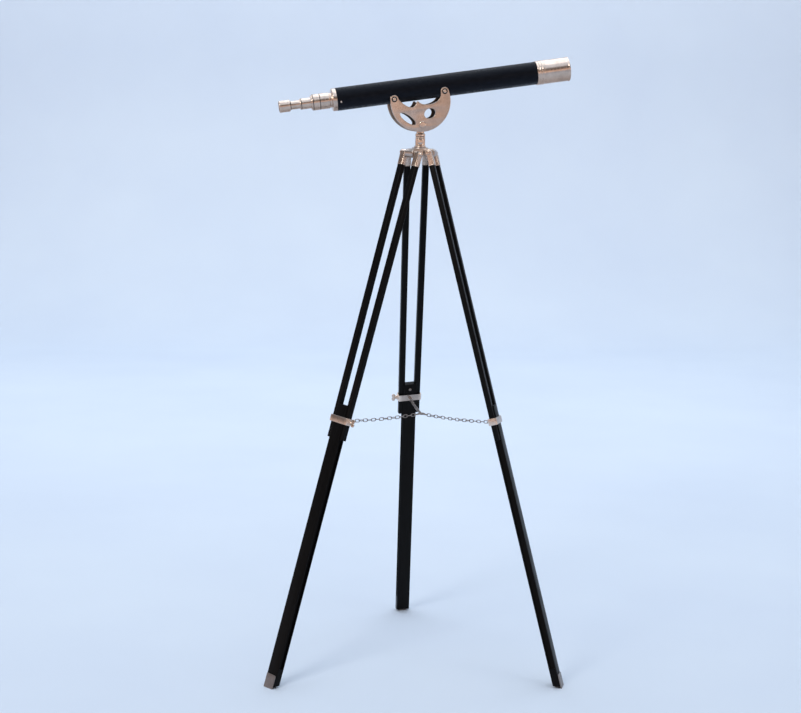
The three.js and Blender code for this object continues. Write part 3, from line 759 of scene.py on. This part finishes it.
def chain_ring():
    height = chain_frame("back").translation.z
    place = Matrix.Translation((RING_AT.x, RING_AT.y, height))
    circle = [Vector((*p, 0)) for p in ellipse(0, 0, RING_R, RING_R, 0, 48)]
    piece("centre_ring", wire_loop(circle, RING_WIRE, 12), place, "chain_back", DULL,
          ["chain_ring"], WIRE_SHARP)


# ---- Hub, socket and lock screw ----

HUB_BOTTOM, HUB_TOP, HUB_R = 1394, 1413, 22
HINGE_R, HINGE_Z = 32, 1398
LUG_R, LUG_W = 12, 28
SOCKET_R, SOCKET_TOP, STEM_R = 13.25, 1441, 9
LOCK_Z, LOCK_AZIMUTH = 1428, -92


def hub():
    """Turned boss with three lugs, one between each pair of ferrules."""
    boss = lathe([(0, HUB_BOTTOM), (HUB_R, HUB_BOTTOM), (HUB_R, HUB_TOP), (0, HUB_TOP)], "z",
                 soft=2.5)
    lugs = []
    for name in LEGS:
        bolt = Vector(JOINTS[f"fold_{name}"]["pos_m"]) - CENTRE
        turn = Matrix.Rotation(math.atan2(bolt.y, bolt.x), 4, "Z")
        profile = arc(HINGE_R, HINGE_Z, LUG_R, -90, 90, 16) + [(0, HUB_TOP - 3), (0, HUB_BOTTOM)]
        side = moved(plate([profile], -LUG_W / 2, LUG_W / 2, 1.6, 3), UPRIGHT)
        lugs.append(moved(side, turn))
    return combined(boss, lugs, "UNION")


def socket():
    """Post round the stem, with a groove turned near its top."""
    outer = [(SOCKET_R + 2.5, HUB_TOP + GAP), (SOCKET_R + 2.5, HUB_TOP + 3),
             (SOCKET_R, HUB_TOP + 5), (SOCKET_R, SOCKET_TOP - 5), (SOCKET_R - 0.7, SOCKET_TOP - 4),
             (SOCKET_R, SOCKET_TOP - 3), (SOCKET_R, SOCKET_TOP)]
    inner = [(STEM_R + GAP, SOCKET_TOP), (STEM_R + GAP, HUB_TOP + GAP)]
    return lathe(outer + inner, "z", closed=True, soft=0.6)


def lock_screw():
    """Round thumb screw with a fluted rim."""
    profile = [(0, STEM_R + GAP), (2.6, STEM_R + GAP), (2.6, SOCKET_R + 1), (5, SOCKET_R + 1),
               (5, SOCKET_R + 3), (8, SOCKET_R + 4), (8, SOCKET_R + 8), (7, SOCKET_R + 9.5),
               (0, SOCKET_R + 10)]
    return fluted(lathe(profile, "x", soft=0.6, segments=96), 7, 0.45, 24)


def fluted(data, beyond, depth, count):
    """Presses shallow flutes into the rim of a knob turned about local x."""
    for vertex in data.vertices:
        _, y, z = vertex.co
        radius = math.hypot(y, z)
        if radius > beyond:
            shrink = 1 - depth / radius * (0.5 + 0.5 * math.cos(count * math.atan2(z, y)))
            vertex.co.y *= shrink
            vertex.co.z *= shrink
    return data


def build_hub():
    piece("hub_casting", hub(), HUB, "hub", FITTING, ["hub"])
    piece("socket_post", socket(), HUB, "hub", CAST, ["pan_socket"])
    turn = Matrix.Rotation(math.radians(LOCK_AZIMUTH), 4, "Z")
    place = HUB @ (Matrix.Translation((0, 0, LOCK_Z * MM)) @ turn)
    piece("lock_screw", lock_screw(), place, "pan_lock_screw", SMALL, ["pan_lock_screw"])


# ---- Stem and yoke ----

PIVOT_Z, TILT_BOLT_R, BARREL_R = 1473.5, 4, 12
TUBE_AXIS, TUBE_R = 93, 30
HORN_REAR, HORN_FRONT, HORN_R = (-66, 74), (69.5, 78), 11
CUSP = (-5.5, 61)


def stem():
    """Stem with a shoulder and a cross barrel between the cheeks."""
    top = SOCKET_TOP + GAP
    shaft = lathe([(0, HUB_BOTTOM + 7), (STEM_R, HUB_BOTTOM + 7), (STEM_R, top),
                   (SOCKET_R - 1, top), (SOCKET_R, top + 1), (SOCKET_R, top + 6),
                   (SOCKET_R - 3, top + 9), (SOCKET_R - 3, PIVOT_Z), (0, PIVOT_Z)], "z", soft=0.8)
    half = CHEEK_IN - GAP
    barrel = lathe([(0, -half), (BARREL_R, -half), (BARREL_R, half), (0, half)], "y", soft=1.2,
                   at=(0, 0, PIVOT_Z))
    return combined(shaft, [barrel], "UNION")


def cheek_outlines():
    """The crescent's edge from rim to horns, cusp and back, then its two windows and its bore."""
    outer = arc(*CRESCENT, 170, 372, 96) + arc(*HORN_FRONT, HORN_R, 5, 178, 24)
    outer += bezier(outer[-1], (59, 65), (53, 58), (43, 53.5))
    outer += bezier(outer[-1], (31, 48), (5, 47), (CUSP[0] + 2, CUSP[1])) + [(CUSP[0] - 2, CUSP[1])]
    outer += bezier(outer[-1], (-13, 46), (-22, 45), (-33, 51.5))
    outer += bezier(outer[-1], (-43, 58), (-50, 65), (HORN_REAR[0] + HORN_R, HORN_REAR[1]))
    outer += arc(*HORN_REAR, HORN_R, 4, 176, 24)
    rear = ellipse(-36.5, 19.5, 25, 8.5, -42)
    front = ellipse(23, 26, 15.5, 12.5, 20)
    pivot = ellipse(0, 0, TILT_BOLT_R + GAP, TILT_BOLT_R + GAP, 0, 28)
    return [outer, rear, front, pivot]


def cheek(side):
    """Crescent plate with rounded edges, seated on the tube between its horns."""
    near, far = sorted((-side * CHEEK_IN, -side * (CHEEK_IN + CHEEK_T)))
    data = moved(plate(cheek_outlines(), near, far, 1.1, 4), UPRIGHT)
    seat = lathe([(0, -120), (TUBE_R + GAP, -120), (TUBE_R + GAP, 140), (0, 140)], "x", soft=0,
                 segments=128, at=(0, 0, TUBE_AXIS))
    return combined(data, [seat], "DIFFERENCE")


def build_yoke():
    piece("stem_tee", stem(), HEAD, "pan_head", CAST, ["yoke_stem"])
    piece("crescent_near", cheek(-1), SCOPE, "scope", CHEEK, ["cheek_near"])
    piece("crescent_far", cheek(1), SCOPE, "scope", CHEEK, ["cheek_far"])
    face = CHEEK_IN + CHEEK_T + 0.1
    bolt = lathe([(0, -face - 3), (7, -face - 3), (9, -face - 2.2), (9.5, -face),
                  (TILT_BOLT_R, -face), (TILT_BOLT_R, face + 9), (0, face + 9)], "y", soft=0.9)
    piece("pivot_bolt", bolt, SCOPE, "scope", CAST, ["tilt_bolt"])
    bore = TILT_BOLT_R + GAP
    knob = lathe([(bore, face), (7, face), (7, face + 3), (11, face + 5), (11, face + 12),
                  (10, face + 13.5), (bore, face + 13.5)], "x", closed=True, soft=0.6, segments=96)
    knob = moved(fluted(knob, 9.5, 0.5, 24), Matrix.Rotation(math.radians(90), 4, "Z"))
    piece("knob_tilt", knob, SCOPE, "tilt_knob", SMALL, ["tilt_knob"])
    for side_tag, flip in (("near", True), ("far", False)):
        for tag, (x, z) in (("rear", HORN_REAR), ("front", HORN_FRONT)):
            yoke_screw(f"{side_tag}_{tag}", x, z, face, flip)


def yoke_screw(tag, x, z, face, flip):
    """Cheese-head screw, with a dark ring round it as painted shade of its countersink."""
    head = [(0, 19.5), (2.2, 19.5), (2.2, face + 0.8), (4.6, face + 0.8), (4.6, face + 2.6),
            (3.6, face + 3.5), (0, face + 3.6)]
    screw = lathe(head, "y", soft=0.5, segments=40, at=(x, 0, z), flip=flip)
    piece(f"screw_{tag}", screw, SCOPE, "scope", SMALL, [f"yoke_screw_{tag}"])
    # Painted shade: a black ring stands in for the shade in the countersink round the screw head.
    ring = [(2.4, face), (7.4, face), (7.4, face + 0.9), (6.4, face + 1.4), (4.9, face + 0.7),
            (2.4, face + 0.7)]
    countersink_shade = lathe(ring, "y", closed=True, soft=0.3, segments=40, at=(x, 0, z), flip=flip)
    piece(f"washer_{tag}", countersink_shade, SCOPE, "scope", BLACK_AND_SHADE)


# ---- Telescope tube ----

TUBE_REAR, TUBE_FRONT = -214, 324
SLEEVE_BORE = 28.7
SEAM_DEEP, SEAM_WIDE = 0.45, 1.3
CELL_START, CAP_END, CAP_R = TUBE_FRONT + GAP, 414, 31.5
LENS_R = 28.9
FLANGE_SCREW_TURN = -14
FLANGE_LONG, COLLAR_LONG = 11.5, 52.5
DRAW_BORE, DRAW_HIDDEN = 18.3, 122
COLLAR_R = DRAW_BORE + 2.7
# Draw tubes, widest first: outer radius, bore, bore of the end bush, showing length, body
DRAWS = ((18, 15.8, 14.6, 3, "draw_tube_1"), (14.3, 12.7, 11.5, 29, "draw_tube_2"),
         (11.2, 9.6, 9.6, 28, "eyepiece"))
CUP_LONG = 29
OPTIC = SCOPE @ Matrix.Translation((0, 0, TUBE_AXIS * MM))


def leather_wrap():
    """The leather skin: a sleeve with a stitched butt seam along its underside."""
    length = TUBE_FRONT - TUBE_REAR
    steps = 110
    stations = [TUBE_REAR + length * i / steps for i in range(steps + 1)]
    outer = [(TUBE_R - 0.02, s) for s in stations]
    inner = [(SLEEVE_BORE, TUBE_FRONT), (SLEEVE_BORE, TUBE_REAR)]
    skin = lathe(outer + inner, "x", closed=True, soft=0, segments=144)
    for vertex in skin.vertices:
        _, y, z = vertex.co
        radius = math.hypot(y, z)
        if radius > TUBE_R - 0.5:
            off = abs(math.atan2(y, -z)) * TUBE_R
            fall = SEAM_DEEP * math.exp(-(off / SEAM_WIDE) ** 2)
            vertex.co.y *= 1 - fall / radius
            vertex.co.z *= 1 - fall / radius
    return skin


def seam_stitches():
    """Slanted stitches across the seam."""
    parts = []
    count = 78
    for i in range(count):
        x = TUBE_REAR + 10 + (TUBE_FRONT - TUBE_REAR - 20) * i / (count - 1)
        stitch = lathe([(0, -2.3), (0.28, -2.1), (0.42, -1.2), (0.42, 1.2), (0.28, 2.1), (0, 2.3)],
                       "y", soft=0.2, segments=8)
        slant = Matrix.Rotation(math.radians(24), 4, "Z")
        parts.append(moved(stitch, Matrix.Translation((x, 0, -TUBE_R + 0.35)) @ slant))
    return joined(*parts)


def objective_cell():
    """Cap over the tube's front end, with three turned rings and a shoulder for the lens."""
    start = CELL_START
    rings = []
    for i in range(3):
        s = start + 1 + i * 7
        rings += [(CAP_R + 0.6, s), (CAP_R + 0.6, s + 3.5),
                  (CAP_R - 0.7, s + 4.1), (CAP_R - 0.7, s + 5.4)]
    outer = [(CAP_R - 0.6, start)] + rings + [(CAP_R, start + 23), (CAP_R, CAP_END - 4),
                                             (CAP_R + 0.8, CAP_END - 3), (CAP_R + 0.8, CAP_END)]
    inner = [(29.2, CAP_END), (29.2, start + 40), (27, start + 40), (27, start + 28),
             (SLEEVE_BORE, start + 28), (SLEEVE_BORE, start)]
    return lathe(outer + inner, "x", closed=True, soft=0.5, segments=128)


def build_tube():
    end = TUBE_FRONT + 12
    bore = lathe([(28.4, TUBE_REAR), (28.4, end), (26.6, end), (26.6, TUBE_REAR)],
                 "x", closed=True, soft=0.3, segments=96)
    piece("inner_tube", bore, OPTIC, "scope", BLACK_AND_SHADE, ["barrel_tube"])
    piece("leather_wrap", leather_wrap(), OPTIC, "scope", LEATHER, ["leather_sleeve"])
    piece("leather_stitches", seam_stitches(), OPTIC, "scope", LEATHER)
    piece("objective_cap", objective_cell(), OPTIC, "scope", TURNED, ["objective_cell"])
    start = CELL_START
    glass = lathe([(0, start + 38.5), (10, start + 39), (20, start + 40.2), (LENS_R, start + 41.8),
                   (LENS_R, start + 45), (20, start + 47.4), (10, start + 49), (0, start + 49.5)],
                  "x", soft=2, segments=96)
    piece("front_lens", glass, OPTIC, "scope", GLASS, ["objective_lens"])
    keeper = lathe([(LENS_R, start + 46), (LENS_R, start + 51), (26, start + 51),
                    (26, start + 48.5)], "x", closed=True, soft=0.3, segments=96)
    piece("lens_keeper", keeper, OPTIC, "scope", TURNED, ["lens_ring"])


def build_eyepiece():
    """The flange on the tube's rear end, then the draw tubes from widest to narrowest."""
    seat = TUBE_REAR - GAP
    flange, collar = seat - FLANGE_LONG, seat - FLANGE_LONG - COLLAR_LONG
    outer = [(COLLAR_R, collar), (COLLAR_R, flange - 7.5), (DRAW_BORE + 1, flange - 6.5),
             (DRAW_BORE + 1, flange - 1), (28, flange), (29.6, flange + 1.5), (29.6, seat),
             (26.3, seat), (26.3, seat + 22)]
    inner = [(DRAW_BORE, seat + 22), (DRAW_BORE, collar)]
    ring = lathe(outer + inner, "x", closed=True, soft=0.6, segments=96)
    piece("flange_collar", ring, OPTIC, "scope", TURNED, ["rear_flange"])
    # Painted shadow lines round the collar.
    shadow_line("collar_end_shadow", COLLAR_R, collar + 2, "scope")
    shadow_line("collar_shadow_line", COLLAR_R, collar + 20, "scope")
    turn = Matrix.Rotation(math.radians(-FLANGE_SCREW_TURN), 4, "X")
    screw = lathe([(0, 32.2), (2, 32), (3, 30.3), (1.6, 30.3), (1.6, 23), (0, 23)], "y", soft=0.3,
                  segments=24, flip=True)
    screw.transform(turn @ Matrix.Translation((TUBE_REAR + 9, 0, 0)))
    piece("small_screw", screw, OPTIC, "scope", SMALL, ["flange_screw"])
    rear = collar
    for i, (r, bore, bush, shows, body) in enumerate(DRAWS, 1):
        end = rear - shows
        inner_end = rear + DRAW_HIDDEN
        tube = lathe([(r - 0.5, end), (r, end + 1), (r, inner_end), (bore, inner_end),
                      (bore, end + 11), (bush, end + 10), (bush, end)],
                     "x", closed=True, soft=0.4, segments=80)
        piece(f"draw_{i}", tube, OPTIC, body, TURNED, [f"draw_tube_{i}"])
        # Painted shadow line near each narrower draw tube's end.
        if i > 1:
            shadow_line(f"joint_{i}", r, end + 3.2, body)
        rear = end
    eye_cup(rear)


def shadow_line(name, r, at, body):
    """A painted shadow line: a black ring turned round a tube just ahead of its end."""
    inner, outer = r - 0.6, r + 0.02
    line = lathe([(inner, at - 0.9), (outer, at - 0.9), (outer, at + 0.9), (inner, at + 0.9)], "x",
                 closed=True, soft=0.02, segments=80)
    piece(name, line, OPTIC, body, BLACK_AND_SHADE)


def eye_cup(tube_end):
    """Cup over the last draw tube's end, and the lens inside it."""
    front = tube_end + 2
    back = front - CUP_LONG
    last = DRAWS[-1][0] + GAP
    cup = [(14.4, back), (15.5, back + 1.5), (15.5, front - 1), (14.5, front), (last, front),
           (last, tube_end - GAP), (9, tube_end - GAP), (9, back + 12), (6, back + 12),
           (6, back + 9), (13, back)]
    cup = lathe(cup, "x", closed=True, soft=0.6, segments=80)
    piece("cup", cup, OPTIC, "eyepiece", TURNED, ["eye_cup"])
    lens = back + 12.3
    glass = lathe([(0, lens), (5, lens + 0.2), (8.7, lens + 0.6), (8.7, lens + 2.5),
                   (4, lens + 4.2), (0, lens + 4.6)], "x", soft=0.5, segments=48)
    piece("rear_lens", glass, OPTIC, "eyepiece", GLASS, ["eye_lens"])


for leg in LEGS:
    build_leg(leg)
    chain(leg)
chain_ring()
build_hub()
build_yoke()
build_tube()
build_eyepiece()


# ---- Floor and light ----

def stage_material():
    look = Look("pale_blue_paper", (0.645, 0.735, 0.845), roughness=0.85)
    place = look.node("ShaderNodeTexCoord").outputs["Object"]
    drift = look.noise(place, 0.9, detail=3)
    color = look.ramp(drift, 0.3, 0.7, ((0.625, 0.715, 0.83), (0.665, 0.755, 0.855)))
    return look.feed(color=color)


def make_stage():
    """A pale floor that curves up into a backdrop."""
    mesh = bmesh.new()
    depth, radius, wide, tall = 5.4, 1.8, 11, 8
    profile = [(-14, 0), (depth, 0)]
    profile += [(depth + radius * math.sin(a), radius - radius * math.cos(a))
                for a in (math.radians(90 * i / 24) for i in range(1, 25))]
    profile.append((depth + radius, tall))
    rows = [[mesh.verts.new((x, y, z)) for x in (-wide, wide)] for y, z in profile]
    for a, b in zip(rows, rows[1:]):
        mesh.faces.new((a[0], a[1], b[1], b[0]))
    data = bpy.data.meshes.new("backdrop")
    mesh.to_mesh(data)
    mesh.free()
    data.shade_smooth()
    data.materials.append(stage_material())
    backdrop = bpy.data.objects.new("backdrop", data)
    bpy.context.scene.collection.objects.link(backdrop)


def area_light(name, at, aim, size, power, color):
    data = bpy.data.lights.new(name, "AREA")
    data.shape = "RECTANGLE"
    data.size, data.size_y = size
    data.energy = power
    data.color = color
    light = bpy.data.objects.new(name, data)
    light.location = at
    light.rotation_euler = (Vector(aim) - Vector(at)).to_track_quat("-Z", "Y").to_euler()
    bpy.context.scene.collection.objects.link(light)


# Surroundings seen in the metal, by height from straight down (0) to straight up (1)
ROOM = ((0.38, (0.64, 0.49, 0.42)), (0.53, (0.92, 0.68, 0.575)), (0.60, (0.15, 0.11, 0.09)),
        (0.74, (0.14, 0.12, 0.12)), (0.83, (0.80, 0.87, 1.0)))
ROOM_STRENGTH = 0.9
OPEN_SKY = (0.56, 0.70, 0.90)       # what shows past the paper's edge


def make_lamps():
    area_light("key", (-2.4, -3.4, 3.9), (0, 0, 1.1), (1.5, 1.3), 70, (1.0, 0.95, 0.88))
    area_light("fill", (3.6, -2.4, 2.2), (0, 0, 0.9), (0.9, 2.6), 12, (1.0, 0.97, 0.94))
    area_light("top", (0.3, 1.0, 4.8), (0, 0.4, 0), (4.5, 4.0), 47, (0.94, 0.97, 1.0))
    area_light("wall", (0, 2.8, 5.8), (0, 7.2, 2.0), (10, 1.8), 240, (0.95, 0.975, 1.0))


def make_room():
    """Soft surroundings for the metal to mirror, with the open sky where the camera sees past."""
    world = bpy.data.worlds.new("room")
    world.use_nodes = True
    tree = world.node_tree
    place = tree.nodes.new("ShaderNodeTexCoord")
    split = tree.nodes.new("ShaderNodeSeparateXYZ")
    ramp = tree.nodes.new("ShaderNodeValToRGB")
    level = tree.nodes.new("ShaderNodeMapRange")
    tree.links.new(place.outputs["Generated"], split.inputs["Vector"])
    tree.links.new(split.outputs["Z"], level.inputs["Value"])
    level.inputs["From Min"].default_value = -1
    tree.links.new(level.outputs["Result"], ramp.inputs["Fac"])
    stops = ramp.color_ramp.elements
    while len(stops) < len(ROOM):
        stops.new(0.5)
    for stop, (height, color) in zip(stops, ROOM):
        stop.position = height
        stop.color = (*color, 1)
    background = tree.nodes["Background"]
    seen = tree.nodes.new("ShaderNodeMix")
    seen.data_type = "RGBA"
    rays = tree.nodes.new("ShaderNodeLightPath")
    tree.links.new(rays.outputs["Is Camera Ray"], seen.inputs["Factor"])
    tree.links.new(ramp.outputs["Color"], seen.inputs["A"])
    seen.inputs["B"].default_value = (*OPEN_SKY, 1)
    tree.links.new(seen.outputs["Result"], background.inputs["Color"])
    background.inputs["Strength"].default_value = ROOM_STRENGTH
    bpy.context.scene.world = world
    bpy.context.scene.view_settings.view_transform = "Standard"


make_stage()
make_lamps()
make_room()
